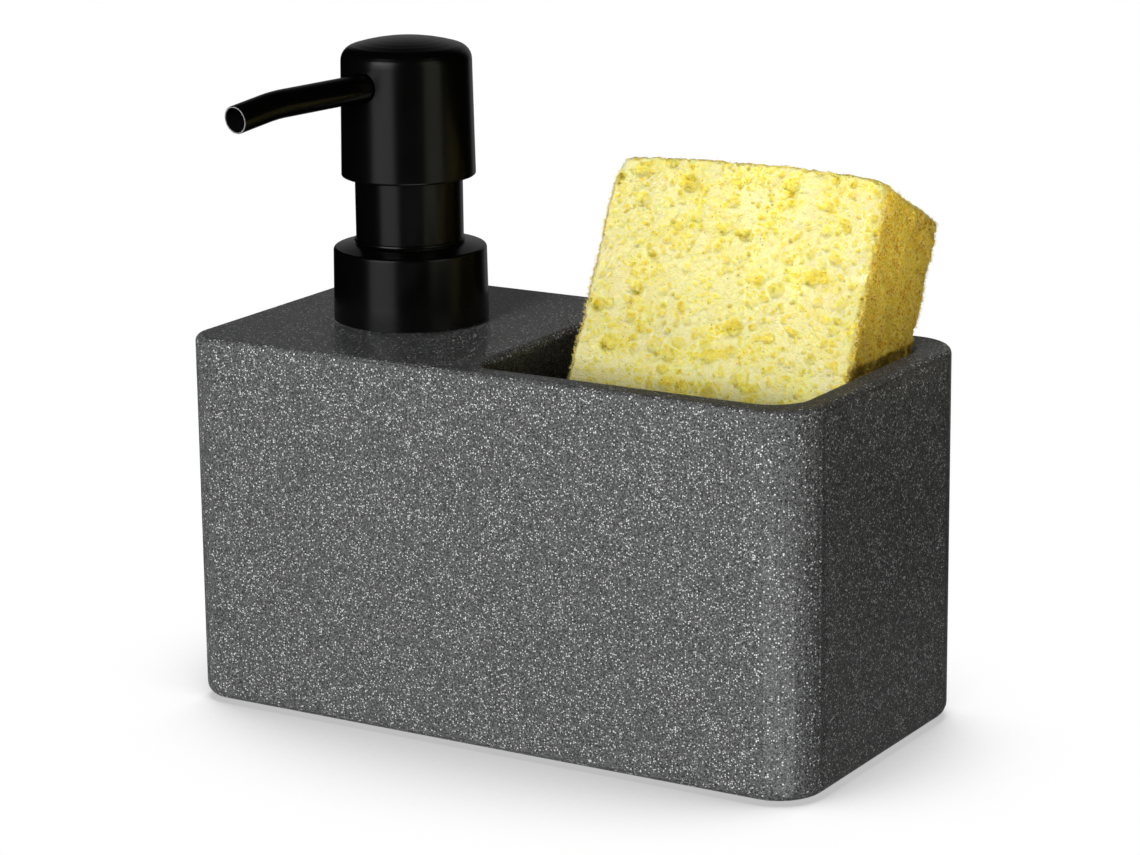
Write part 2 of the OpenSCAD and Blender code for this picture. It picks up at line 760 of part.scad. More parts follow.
// Bent tube with its bore
module spout_pipe(r_out, r_in, back) {
    path = spout_path(back);
    last = len(path) - 1;
    loft(concat(
        [for (p = path) tube_ring(p, r_out)],
        [for (i = [last:-1:0]) tube_ring(path[i], r_in)]), closed = true);
}

module spout_tube() {
    color([0.07, 0.07, 0.07])
        at_spout()
            spout_pipe(spout_r, spout_r - spout_t, 0);
}

module spout_liner() {
    color([0.1, 0.1, 0.1])
        at_spout()
            spout_pipe(liner_r, liner_r - liner_t, liner_back);
}

// Section of the sponge across its width at x, a share s of half the width from
// its middle: a rounded outline of thickness and length, drawn in by g all round
function sponge_section(s, g, x) =
    let (y = sponge_t / 2 - sponge_swell * s * s - sponge_r,
        top = sponge_len - sponge_crown * s * s - sponge_r)
    [for (t = [[1, 1, 0], [-1, 1, 90], [-1, -1, 180], [1, -1, 270]])
        each [for (i = [0:sponge_corner_steps])
            let (a = t[2] + 90 * i / sponge_corner_steps)
            [x, t[0] * y + (sponge_r - g) * cos(a),
                (t[1] > 0 ? top : sponge_r) + (sponge_r - g) * sin(a)]]];

// Cellulose sponge: a block with soft edges, whose broad faces and top end swell
// a little in the middle of its width
module sponge() {
    half = sponge_w / 2;
    straight = half - sponge_r;
    rings = concat(
        [for (i = [0:sponge_corner_steps - 1]) let (a = 90 * i / sponge_corner_steps)
            sponge_section(1, sponge_r * (1 - sin(a)), -half + sponge_r * (1 - cos(a)))],
        [for (i = [0:sponge_rows]) let (s = 2 * i / sponge_rows - 1)
            sponge_section(s, 0, s * straight)],
        [for (i = [sponge_corner_steps - 1:-1:0]) let (a = 90 * i / sponge_corner_steps)
            sponge_section(1, sponge_r * (1 - sin(a)), half - sponge_r * (1 - cos(a)))]);
    drop = sponge_core_t * sin(lean);
    color([0.93, 0.85, 0.35])
        translate([sponge_x, sponge_front_y, sponge_foot_z + drop])
            rotate([-lean, 0, 0])
                translate([0, sponge_t / 2 - sponge_r, -sponge_r])
                    loft(rings);
}

caddy_body();
base_plate();
base_pad();
neck_insert();
collar_shell();
screw_cap();
neck_gasket();
pump_cylinder();
stem_guide();
guide_sleeve();
return_spring();
dip_tube();
inlet_ball();
piston();
spring_seat();
stem();
actuator_core();
head_shell();
spout_tube();
spout_liner();
sponge();
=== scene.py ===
import math

import bpy
import numpy as np
from mathutils import Matrix, Vector


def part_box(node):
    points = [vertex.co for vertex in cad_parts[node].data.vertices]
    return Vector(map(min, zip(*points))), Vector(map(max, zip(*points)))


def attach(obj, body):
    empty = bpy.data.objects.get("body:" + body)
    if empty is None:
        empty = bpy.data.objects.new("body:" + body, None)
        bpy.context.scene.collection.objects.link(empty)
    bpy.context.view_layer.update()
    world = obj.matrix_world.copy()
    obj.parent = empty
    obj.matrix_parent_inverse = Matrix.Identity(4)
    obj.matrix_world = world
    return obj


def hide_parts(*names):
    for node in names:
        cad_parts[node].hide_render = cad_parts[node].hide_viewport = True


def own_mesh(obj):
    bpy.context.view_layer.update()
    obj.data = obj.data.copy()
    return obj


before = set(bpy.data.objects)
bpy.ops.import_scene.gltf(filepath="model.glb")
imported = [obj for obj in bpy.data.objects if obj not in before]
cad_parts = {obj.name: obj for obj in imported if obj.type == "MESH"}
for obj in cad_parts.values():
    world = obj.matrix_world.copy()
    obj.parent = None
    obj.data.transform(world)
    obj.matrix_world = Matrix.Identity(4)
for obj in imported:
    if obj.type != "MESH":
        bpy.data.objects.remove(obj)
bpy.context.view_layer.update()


# Viewpoint: the caddy is looked at from its front right, a little from above,
# through a long lens, so its upright edges stay almost parallel.
VIEW_TURN, VIEW_RISE, VIEW_ROLL = np.radians((31.243, 14.351, -0.651))
VIEW_PLACE = (0.44152, -0.72922, 0.28644)
LENS, SENSOR, FARTHEST = 118.0, 36.0, 20


def view_axes(turn, rise, roll):
    """Right, up and backward directions of a camera that stands at a turn round the
    upright axis and a rise above the floor, and then rolls about its own line of sight."""
    back = np.array([math.sin(turn) * math.cos(rise), -math.cos(turn) * math.cos(rise), math.sin(rise)])
    right = np.array([math.cos(turn), math.sin(turn), 0])
    up = np.cross(back, right)
    return (right * math.cos(roll) + up * math.sin(roll), up * math.cos(roll) - right * math.sin(roll), back)


def put(name, data):
    """Links a new object with this data into the scene."""
    made = bpy.data.objects.new(name, data)
    bpy.context.scene.collection.objects.link(made)
    return made


eye = put("eye", bpy.data.cameras.new("eye"))
eye.data.lens, eye.data.sensor_width, eye.data.clip_end = LENS, SENSOR, FARTHEST
axes = np.transpose(view_axes(VIEW_TURN, VIEW_RISE, VIEW_ROLL))
eye.matrix_world = Matrix([(*row, place) for row, place in zip(axes, VIEW_PLACE)] + [(0, 0, 0, 1)])
bpy.context.scene.camera = eye


# Studio: a white sheet under and behind the caddy, a soft box in front of it, low ones
# at its right and its back, two narrow beams on the sponge, and three panels that only
# the gloss shows.
def plug(tree, node, sockets):
    """Gives a node's input sockets, by name or number, either a value or a link from
    another node's output."""
    for key, value in sockets.items():
        if isinstance(value, bpy.types.NodeSocket):
            tree.links.new(value, node.inputs[key])
        else:
            node.inputs[key].default_value = value


def add(tree, kind, sockets=None, **settings):
    """Adds a shader node of this kind to a tree, with its settings and its sockets."""
    made = tree.nodes.new("ShaderNode" + kind)
    for key, value in settings.items():
        setattr(made, key, value)
    plug(tree, made, sockets or {})
    return made


def maths(tree, operation, *terms):
    """One Math node, whose terms are values or output sockets. Its result isn't clamped."""
    return add(tree, "Math", dict(enumerate(terms)), operation=operation).outputs[0]


def plus(tree, first, *others):
    """Sum of values or output sockets, added from left to right."""
    for other in others:
        first = maths(tree, "ADD", first, other)
    return first


def minus(tree, first, second):
    """The first value or output socket less the second."""
    return maths(tree, "SUBTRACT", first, second)


def times(tree, first, second):
    """Product of two values or output sockets."""
    return maths(tree, "MULTIPLY", first, second)


def vector(tree, operation, *terms):
    """One Vector Math node. A length and a dot product come out as a value, and the rest
    as a vector."""
    made = add(tree, "VectorMath", dict(enumerate(terms)), operation=operation)
    return made.outputs["Value" if operation in ("LENGTH", "DOT_PRODUCT") else "Vector"]


def spread(tree, value, low, high, to_low=0.0, to_high=1.0):
    """Maps a value from low..high to to_low..to_high with a smooth start and end."""
    return add(tree, "MapRange", {"Value": value, "From Min": low, "From Max": high, "To Min": to_low,
                                  "To Max": to_high}, interpolation_type="SMOOTHSTEP").outputs["Result"]


def ray_kinds(tree):
    """Light Path's outputs, and a value that is 1 for what the camera sees, either at once
    or through a see-through piece."""
    rays = add(tree, "LightPath").outputs
    return rays, maths(tree, "MAXIMUM", rays["Is Camera Ray"], rays["Is Transmission Ray"])


AMBIENT = 0.04
SHEET_WAY = (-0.342, 0.940)
SHEET_EDGE, SHEET_RISE = (0.87, 0.96), (0.15, 0.7)
SHEET_SIDE_GLOW, SHEET_LOW_GLOW, SHEET_HIGH_GLOW = 0.01, 0.2, 0.004

bpy.context.scene.view_settings.view_transform = "Standard"
world = bpy.data.worlds.new("studio")
bpy.context.scene.world = world
world.use_nodes = True
air = world.node_tree
air.nodes.clear()
rays, seen = ray_kinds(air)
aim = add(air, "SeparateXYZ", {0: add(air, "TexCoord").outputs["Generated"]}).outputs
level = maths(air, "SQRT", minus(air, 1.0001, times(air, aim[2], aim[2])))
behind = plus(air, times(air, aim[0], SHEET_WAY[0]), times(air, aim[1], SHEET_WAY[1]))
across = spread(air, maths(air, "DIVIDE", behind, level), *SHEET_EDGE, SHEET_SIDE_GLOW, 1.0)
sheet_glow = times(air, across, spread(air, aim[2], *SHEET_RISE, SHEET_LOW_GLOW, SHEET_HIGH_GLOW))
glossy_part = times(air, sheet_glow, rays["Is Glossy Ray"])
diffuse_part = times(air, rays["Is Diffuse Ray"], AMBIENT)
glow = maths(air, "MAXIMUM", seen, plus(air, glossy_part, diffuse_part))
lit = add(air, "Background", {"Color": (1, 1, 1, 1), "Strength": glow}).outputs[0]
add(air, "OutputWorld", {"Surface": lit})


def lamp(name, place, aim_at, size, radiance, colour=(1, 1, 1), diffuse=True, glossy=True, beam=180):
    """A rectangular soft lamp that faces a point, with a beam of so many degrees. Its
    power follows from the radiance of its face: power = pi times area times radiance."""
    data = bpy.data.lights.new(name, "AREA")
    data.shape, data.size, data.size_y = "RECTANGLE", *size
    data.energy = math.pi * size[0] * size[1] * radiance
    data.color, data.spread = colour, math.radians(beam)
    made = put(name, data)
    made.location = place
    made.rotation_euler = (Vector(place) - Vector(aim_at)).to_track_quat("Z", "Y").to_euler()
    made.visible_diffuse, made.visible_glossy, made.visible_camera = diffuse, glossy, False
    made.visible_transmission = False


MIDDLE, SPONGE_FACE, SPONGE_END = (0, 0, 0.07), (0.045, 0.01, 0.135), (0.0757, 0.01, 0.135)
PANEL_AIM, STRIP_AIM = (-0.045, 0, 1.13), (-0.045, 0, 0.9)
OFF_WHITE, WARM = (1.0, 0.99, 0.95), (1.0, 0.97, 0.9)
YELLOW, PALE_YELLOW = (1.0, 0.93, 0.55), (1.0, 1.0, 0.8)
lamp("front_box", (-0.02, -1.24, 0.4), MIDDLE, (0.5, 0.38), 27.5, glossy=False)
lamp("high_spot", (0.0, -0.75, 1.25), SPONGE_FACE, (0.05, 0.05), 1.1, OFF_WHITE, glossy=False, beam=5)
lamp("right_box", (1.3, -0.35, 0.05), MIDDLE, (0.9, 0.16), 5.4, WARM, glossy=False)
lamp("side_spot", (1.2, -0.3, 0.14), SPONGE_END, (0.06, 0.06), 0.6, YELLOW, glossy=False, beam=4)
lamp("back_box", (-0.2, 1.4, 0.16), MIDDLE, (1.2, 0.25), 9.0, glossy=False)
lamp("front_panel", (-0.53, -2.71, 1.13), PANEL_AIM, (2.0, 3.5), 0.8, diffuse=False)
lamp("front_strip", (-0.49, -2.46, 0.9), STRIP_AIM, (1.8, 0.9), 1.8, diffuse=False)
lamp("right_panel", (2.67, -0.53, 1.13), PANEL_AIM, (1.5, 3.5), 0.4, PALE_YELLOW, diffuse=False)


# Floor: the white sheet the caddy stands on. The camera sees it as a white glow, with
# painted shade where the caddy is near. Gloss sees only a faint disc of it under the caddy
# and a painted glow ahead of the near corner, which paints a highlight on that corner, and
# ends where the world's own sheet begins.
FLOOR_HALF = 6.0
SHADE_REACH, SHADE_COVER, SHADE_DEEPEST = 0.11, (0.41, 0.81), 0.51
NEAR_CORNER, CORNER_WAY = (0.078, -0.038, 0.0), (0.454, -0.891, 0.0)
# The patch is a glow that only gloss sees. It paints a highlight on the caddy's near corner.
PATCH_FAN, PATCH_REACH, PAINTED_PATCH_GLOW = (0.7, 0.85), (0.22, 0.3), 2.3
DISC_REACH, DISC_GLOW, GLOSS_END = (0.13, 0.2), 0.1, (0.24, 0.3)

floor_mesh = bpy.data.meshes.new("floor")
floor_mesh.from_pydata([(x * FLOOR_HALF, y * FLOOR_HALF, 0) for x, y in ((-1, -1), (1, -1), (1, 1), (-1, 1))],
                       [], [(0, 1, 2, 3)])
floor = put("floor", floor_mesh)
sheet = bpy.data.materials.new("white_sheet")
sheet.use_nodes = True
tree = sheet.node_tree
tree.nodes.clear()
rays, seen = ray_kinds(tree)
gloss = rays["Is Glossy Ray"]
place = add(tree, "TexCoord").outputs["Object"]
cover = add(tree, "AmbientOcclusion", {"Distance": SHADE_REACH}, samples=24).outputs["AO"]
# Painted shade: ambient occlusion darkens the floor's white glow near the caddy.
painted_floor_shade = spread(tree, cover, *SHADE_COVER, SHADE_DEEPEST, 1.0)
around = vector(tree, "LENGTH", place)
ahead = vector(tree, "SUBTRACT", place, NEAR_CORNER)
away = vector(tree, "LENGTH", ahead)
facing = maths(tree, "DIVIDE", vector(tree, "DOT_PRODUCT", ahead, CORNER_WAY), plus(tree, away, 0.0001))
# Painted highlight: a bright patch of glow ahead of the near corner, seen only by gloss.
painted_highlight_patch = times(tree, spread(tree, facing, *PATCH_FAN), spread(tree, away, *PATCH_REACH, PAINTED_PATCH_GLOW, 0.0))
mirrored = maths(tree, "MAXIMUM", painted_highlight_patch, spread(tree, around, *DISC_REACH, DISC_GLOW, 0.0))
glow = plus(tree, times(tree, seen, painted_floor_shade), times(tree, gloss, mirrored))
grey = add(tree, "CombineColor", {0: glow, 1: glow, 2: glow}).outputs[0]
plain = add(tree, "BsdfDiffuse", {"Color": (0.8, 0.8, 0.8, 1)}).outputs[0]
shone = add(tree, "Emission", {"Color": grey, "Strength": 1.0}).outputs[0]
joined = add(tree, "MixShader", {0: maths(tree, "MAXIMUM", seen, gloss), 1: plain, 2: shone}).outputs[0]
ends = times(tree, gloss, spread(tree, around, *GLOSS_END))
nothing = add(tree, "BsdfTransparent").outputs[0]
add(tree, "OutputMaterial", {"Surface": add(tree, "MixShader", {0: ends, 1: joined, 2: nothing}).outputs[0]})
floor_mesh.materials.append(sheet)


# Caddy body and base plate: polyester resin filled with stone powder and chips, cast
# in a mould. The chips show as pale and dark grains in a mottled grey ground.
def tone(red, green, blue):
    """Turns a colour as a screen shows it, 0 to 255, into the shader's linear colour."""
    share = np.array([red, green, blue]) / 255
    return (*np.where(share <= 0.04045, share / 12.92, ((share + 0.055) / 1.055) ** 2.4), 1.0)


def finish(name):
    """A new material with a Principled shader: returns the material, its tree, the shader
    and the Object coordinates."""
    made = bpy.data.materials.new(name)
    made.use_nodes = True
    tree = made.node_tree
    shader = tree.nodes["Principled BSDF"]
    return made, tree, shader, add(tree, "TexCoord").outputs["Object"]


def effect(name, inputs, outputs):
    """A shader node group with named sockets: returns the group, its input node's
    sockets and its output node."""
    group = bpy.data.node_groups.new(name, "ShaderNodeTree")
    for direction, sockets in (("INPUT", inputs), ("OUTPUT", outputs)):
        for label, kind in sockets.items():
            group.interface.new_socket(label, in_out=direction, socket_type="NodeSocket" + kind)
    return group, group.nodes.new("NodeGroupInput").outputs, group.nodes.new("NodeGroupOutput")


def use(tree, group, **sockets):
    """Places a node group in a tree with its own values."""
    values = {label.capitalize(): value for label, value in sockets.items()}
    return add(tree, "Group", values, node_tree=group).outputs


def bump(tree, height, depth, strength=1.0):
    """Normal of a surface that stands out by a height field times a depth in metres."""
    return add(tree, "Bump", {"Strength": strength, "Distance": depth, "Height": height}).outputs[0]


def blend_colour(tree, share, first, second):
    """Mixes two colours, each a value or an output socket, by a share from 0 to 1."""
    return add(tree, "Mix", {0: share, 6: first, 7: second}, data_type="RGBA").outputs[2]


def noise(tree, place, scale, detail, roughness=0.5, distortion=0.0):
    """Soft random field of about 0 to 1, with a given number of waves to the metre."""
    return add(tree, "TexNoise", {"Vector": place, "Scale": scale, "Detail": detail, "Roughness": roughness,
                                  "Distortion": distortion}).outputs[0]


SMALLEST_MARK = 0.35
MARK_INPUTS = {"Place": "Vector", "Cells": "Float", "Share": "Float", "Size": "Float"}


def round_marks(group, given, soft):
    """Round marks, one at most in each Voronoi cell. A cell has one if its first random
    number is under the share. The mark's radius is the size times the sum of the second
    number and a least value, and its edge is soft over a share of that radius. Returns
    the cells, the mask, the way from the middle of the mark, and the radius."""
    cells = add(group, "TexVoronoi", {"Vector": given["Place"], "Scale": given["Cells"]}).outputs
    pick = add(group, "SeparateColor", {0: cells["Color"]}).outputs
    chosen = maths(group, "LESS_THAN", pick[0], given["Share"])
    radius = times(group, plus(group, pick[1], SMALLEST_MARK), given["Size"])
    near = minus(group, 1.0, maths(group, "DIVIDE", cells["Distance"], radius))
    mask = times(group, chosen, spread(group, near, 0.0, soft))
    return cells, mask, vector(group, "SUBTRACT", given["Place"], cells["Position"]), radius


chips, given, result = effect("stone_chips", MARK_INPUTS, {"Mask": "Float", "Slope": "Float"})
cells, mask, aside = round_marks(chips, given, 0.25)[:3]
tilt = vector(chips, "SUBTRACT", cells["Color"], (0.5, 0.5, 0.5))
slope = vector(chips, "DOT_PRODUCT", aside, tilt)
plug(chips, result, {"Mask": mask, "Slope": times(chips, slope, mask)})

# Dark, pale and bright grains: Voronoi cells to the metre, share of cells and size in cells
GRAINS = ((2900.0, 0.28, 0.48), (2800.0, 0.28, 0.44), (2300.0, 0.24, 0.43))
MOTTLE_DEPTH, CHIP_TILT = 0.00005, 0.6

resin, tree, shader, place = finish("stone_resin")
mottle = noise(tree, place, 2100.0, 2.0, 0.7)
dense = spread(tree, noise(tree, place, 190.0, 2.0, 0.6), 0.36, 0.6, 0.6, 1.0)
grains = [use(tree, chips, place=place, cells=number, share=times(tree, dense, share), size=size)
          for number, share, size in GRAINS]
dark, pale, glint = (grain["Mask"] for grain in grains)
ground = blend_colour(tree, spread(tree, mottle, 0.37, 0.63), tone(52, 53, 53), tone(110, 111, 111))
ground = blend_colour(tree, times(tree, dark, 0.9), ground, tone(22, 23, 24))
ground = blend_colour(tree, times(tree, pale, 0.75), ground, tone(178, 179, 179))
ground = blend_colour(tree, glint, ground, tone(234, 235, 236))
shine = plus(tree, times(tree, pale, 0.15), times(tree, glint, 0.4), 0.35)
relief = minus(tree, plus(tree, mottle, times(tree, pale, 0.4)), times(tree, dark, 0.4))
slopes = plus(tree, grains[1]["Slope"], grains[2]["Slope"], grains[0]["Slope"])
height = plus(tree, times(tree, relief, MOTTLE_DEPTH), times(tree, slopes, CHIP_TILT))
plug(tree, shader, {"Base Color": ground, "Roughness": 0.3, "Normal": bump(tree, height, 1.0),
                    "Specular IOR Level": minus(tree, shine, times(tree, dark, 0.25))})


def wear(material, *names):
    """Gives CAD nodes this material."""
    for name in names:
        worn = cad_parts[name].data.materials
        worn.clear()
        worn.append(material)


wear(resin, "caddy_body", "base_plate")


# Base pad: die-cut sheet of fine black closed-cell foam, glued under the block.
def foam_finish(name, scale, wall, cell, roughness, depth):
    """A foam's material: round closed cells, so many to the metre, whose colour goes from
    that of the walls to that of the cells, and whose height is a depth in metres."""
    made, tree, shader, place = finish(name)
    cells = add(tree, "TexVoronoi", {"Vector": place, "Scale": scale}).outputs["Distance"]
    colour = blend_colour(tree, spread(tree, cells, 0.1, 0.7), wall, cell)
    plug(tree, shader, {"Base Color": colour, "Roughness": roughness, "Normal": bump(tree, cells, depth)})
    return made


black_foam = foam_finish("black_foam", 2200.0, tone(48, 48, 49), tone(22, 22, 23), 0.95, 0.0002)
wear(black_foam, "base_pad")


# Pump covers: collar shell, fixed sleeve and head shell are drawn or moulded, polished
# and sprayed with one satin black coat, very slightly uneven in gloss.
COAT_DEPTH = 0.000006

satin, given, result = effect("satin_coat", {"Place": "Vector"},
                              {"Colour": "Color", "Roughness": "Float", "Height": "Float"})
drift = noise(satin, given["Place"], 90.0, 3.0)
skin = noise(satin, given["Place"], 2600.0, 2.0)
uneven = plus(satin, spread(satin, drift, 0.3, 0.7, 0.22, 0.24), times(satin, skin, 0.02))
plug(satin, result, {"Colour": blend_colour(satin, drift, tone(3, 3, 3), tone(5, 5, 5)),
                     "Roughness": uneven, "Height": skin})

coat, tree, shader, place = finish("satin_black_coat")
sprayed = use(tree, satin, place=place)
plug(tree, shader, {"Base Color": sprayed["Colour"], "Roughness": sprayed["Roughness"],
                    "Normal": bump(tree, sprayed["Height"], COAT_DEPTH)})
wear(coat, "collar_shell", "guide_sleeve", "head_shell")


# Spout: a thin tube, cut square, bent once and coated like the head. The edge of its
# mouth is rolled round, and its bore shows the coat only thinly.
PUMP_X = sum(corner[0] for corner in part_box("inlet_ball")) / 2
SPOUT_Z, SPOUT_TURN, BEND = 0.14768, math.radians(8.3), math.radians(7.6)
SPOUT_ROOT, SPOUT_STRAIGHT, BEND_R, SPOUT_END = 0.005, 0.042, 0.048, 0.0097
SPOUT_R, SPOUT_WALL, SPOUT_SIDES = 0.00328, 0.00045, 56
SPOUT_LENGTH, LIP_R = SPOUT_STRAIGHT + BEND_R * BEND + SPOUT_END, SPOUT_WALL / 2


def mesh_of(name, points, faces, body, material, smooth=True):
    """Makes a closed mesh from points and from faces that all have as many sides, lets it
    ride on a body and gives it its material."""
    data = bpy.data.meshes.new(name)
    sides = faces.shape[1]
    data.vertices.add(len(points))
    data.vertices.foreach_set("co", np.asarray(points, np.float32).ravel())
    data.loops.add(faces.size)
    data.loops.foreach_set("vertex_index", faces.astype(np.int32).ravel())
    data.polygons.add(len(faces))
    data.polygons.foreach_set("loop_start", np.arange(0, faces.size, sides, dtype=np.int32))
    data.update(calc_edges=True)
    data.polygons.foreach_set("use_smooth", np.full(len(faces), smooth))
    data.materials.append(material)
    made = put(name, data)
    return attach(made, body)


def mark_points(piece, **marks):
    """Keeps a number for each point of a mesh, under these names, for its material."""
    for label, values in marks.items():
        kept = piece.data.attributes.new(label, "FLOAT", "POINT")
        kept.data.foreach_set("value", values.astype(np.float32))


def marked(tree, label):
    """The number that a mesh keeps at its points under this name."""
    return add(tree, "Attribute", attribute_name=label).outputs["Fac"]


def web(rings, around, along=False):
    """Quads between neighbouring rings of as many points, counted round each ring, and
    from the last ring back to the first where the rings close along their path."""
    starts = np.arange(rings if along else rings - 1)
    j, k = (grid.ravel() for grid in np.meshgrid(starts, np.arange(around), indexing="ij"))
    up, on = (j + 1) % rings, (k + 1) % around
    return np.stack((j * around + k, j * around + on, up * around + on, up * around + k), axis=1)


def along_spout(way):
    """Place and downward angle at a distance along the spout's axis: straight, then on
    an arc of the bend radius, then straight again, in the upright plane of the spout."""
    bent = np.clip((way - SPOUT_STRAIGHT) / BEND_R, 0, BEND)
    first, last = np.minimum(way, SPOUT_STRAIGHT), np.maximum(way - SPOUT_STRAIGHT - BEND_R * BEND, 0)
    reach = first + BEND_R * np.sin(bent) + last * math.cos(BEND)
    drop = -BEND_R * (1 - np.cos(bent)) - last * math.sin(BEND)
    return reach, drop, bent


def pipe(ways, radii):
    """Rings round the spout's axis, one for each distance along it and radius."""
    reach, drop, angle = (values[:, None] for values in along_spout(ways))
    turn = 2 * math.pi * np.arange(SPOUT_SIDES) / SPOUT_SIDES
    above, side = radii[:, None] * np.sin(turn), radii[:, None] * np.cos(turn)
    reach, drop = reach + above * np.sin(angle), drop + above * np.cos(angle)
    heading = -math.pi / 2 - SPOUT_TURN
    points = np.stack((PUMP_X + reach * math.cos(heading) - side * math.sin(heading),
                       reach * math.sin(heading) + side * math.cos(heading), SPOUT_Z + drop), axis=2)
    return points.reshape(-1, 3)


coated_tube, tree, shader, place = finish("coated_tube")
bore = marked(tree, "bore")
sprayed = use(tree, satin, place=place)
thin = blend_colour(tree, bore, sprayed["Colour"], tone(16, 16, 17))
# The crest of the rolled lip is light grey. It is partly coat worn thin on the edge and partly a painted
# highlight for the bright ring round the mouth.
plug(tree, shader, {"Base Color": blend_colour(tree, marked(tree, "rim"), thin, tone(150, 150, 152)),
                    "Roughness": plus(tree, sprayed["Roughness"], times(tree, bore, 0.15)),
                    "Normal": bump(tree, sprayed["Height"], COAT_DEPTH)})

stations = np.concatenate((np.linspace(SPOUT_ROOT, SPOUT_STRAIGHT, 12),
                           SPOUT_STRAIGHT + np.linspace(0.0003, BEND_R * BEND, 14),
                           np.linspace(SPOUT_LENGTH - SPOUT_END + 0.001, SPOUT_LENGTH - LIP_R, 6)))
roll = np.radians(np.linspace(80, -80, 9))
ways = np.concatenate((stations, SPOUT_LENGTH - LIP_R + LIP_R * np.cos(roll), stations[::-1]))
radii = np.concatenate((np.full(len(stations), SPOUT_R), SPOUT_R - LIP_R + LIP_R * np.sin(roll),
                        np.full(len(stations), SPOUT_R - SPOUT_WALL)))
faces = web(len(ways), SPOUT_SIDES, along=True)[:, ::-1]
spout = mesh_of("spout", pipe(ways, radii), faces, "head", coated_tube)
inside = np.interp(radii, (SPOUT_R - SPOUT_WALL, SPOUT_R - SPOUT_WALL * 0.7), (1, 0))
# rim marks the lip's crest for its light grey, partly worn coat and partly painted highlight.
crest = np.interp(ways, (SPOUT_LENGTH - 0.3 * LIP_R, SPOUT_LENGTH), (0, 1))
mark_points(spout, bore=np.repeat(inside, SPOUT_SIDES), rim=np.repeat(crest, SPOUT_SIDES))
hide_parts("spout_tube")


# Black mouldings: neck, screw cap, the head's core and the spout's inner tube come from
# spark-eroded moulds, which leave a fine even grain and a soft shine.
grained, given, result = effect("moulded_grain", {"Place": "Vector", "Scale": "Float"},
                                {"Height": "Float", "Drift": "Float"})
plug(grained, result, {"Height": noise(grained, given["Place"], given["Scale"], 2.0, 0.6),
                       "Drift": noise(grained, given["Place"], 120.0, 2.0, distortion=1.5)})

moulding, tree, shader, place = finish("black_moulding")
marks = use(tree, grained, place=place, scale=2400.0)
plug(tree, shader, {"Base Color": blend_colour(tree, marks["Drift"], tone(24, 24, 25), tone(33, 33, 34)),
                    "Roughness": spread(tree, marks["Height"], 0.3, 0.7, 0.38, 0.5),
                    "Normal": bump(tree, marks["Height"], 0.00002)})
wear(moulding, "neck_insert", "screw_cap", "actuator_core", "spout_liner")


# Threads of neck and screw cap: right-handed, 4.23 mm a turn, with sloping flanks. The
# cap's ridge lies half a turn's rise away from the neck's, so each runs in the other's groove.
PITCH, THREAD_Z, THREAD_SINK, THREAD_STEPS = 0.00423, 0.0938, 0.00015, 72
NECK_R, NECK_CREST, CAP_BORE, CAP_CREST = 0.0125, 0.0136, 0.01395, 0.01285
FLANKS = np.array(((0.00105, 0.0), (0.00075, 0.45), (0.00038, 1.0),
                   (-0.00038, 1.0), (-0.00075, 0.45), (-0.00105, 0.0)))


def round_pump(radius, angle, height):
    """Points at a radius and an angle round the pump's axis, at a height."""
    points = np.stack((PUMP_X + radius * np.cos(angle), radius * np.sin(angle), height), axis=2)
    return points.reshape(-1, 3)


def closed_run(rings, around):
    """Quads of a run of rings, with both end rings closed by quads in rows across them.
    A ring has an even number of points."""
    cap = np.array([[i, i + 1, around - 2 - i, around - 1 - i] for i in range(around // 2 - 1)])
    return np.concatenate((web(rings, around), cap[:, ::-1], cap + (rings - 1) * around))


def ridge(start, end, base, crest, shift):
    """A thread ridge between two numbers of turns: its height over the base radius rises
    to the crest within an eighth of a turn from each end, and the centre line climbs by
    the pitch with each turn. Returns points and quads."""
    turns = np.linspace(start, end, int((end - start) * THREAD_STEPS) + 1)
    rise = np.clip(np.minimum(turns - start, end - turns) * 8, 0, 1)
    rise = (rise * rise * (3 - 2 * rise))[:, None]
    across, tall = FLANKS.T
    radius = base + rise * (crest - base) * tall
    height = THREAD_Z + shift + PITCH * turns[:, None] + across * (0.4 + 0.6 * rise)
    return round_pump(radius, 2 * math.pi * turns[:, None], height), closed_run(len(turns), len(FLANKS))


male, male_faces = ridge(0.0, 1.56, NECK_R - THREAD_SINK, NECK_CREST, 0.0)
mesh_of("neck_thread", male, male_faces, "caddy", moulding, smooth=False)
female, female_faces = ridge(0.35, 1.75, CAP_BORE + THREAD_SINK, CAP_CREST, -PITCH / 2)
mesh_of("cap_thread", female, female_faces[:, ::-1], "collar", moulding, smooth=False)


# Natural mouldings: barrel, stem guide, piston, spring seat and stem are moulded from
# uncoloured polypropylene, milky and slightly see-through, with a fine parting line.
natural, tree, shader, place = finish("natural_moulding")
marks = use(tree, grained, place=place, scale=1500.0)
off_seam = maths(tree, "ABSOLUTE", add(tree, "SeparateXYZ", {0: place}).outputs[1])
seam = spread(tree, off_seam, 0.00004, 0.00012, 1.0, 0.0)
relief = plus(tree, times(tree, marks["Height"], 0.4), seam)
milky = blend_colour(tree, marks["Drift"], tone(226, 227, 221), tone(238, 238, 233))
plug(tree, shader, {"Base Color": milky, "Roughness": spread(tree, marks["Height"], 0.3, 0.7, 0.32, 0.42),
                    "Normal": bump(tree, relief, 0.00003), "Subsurface Weight": 0.5,
                    "Subsurface Radius": (1.0, 0.95, 0.85), "Subsurface Scale": 0.0015})
wear(natural, "pump_cylinder", "stem_guide", "piston", "spring_seat", "stem")


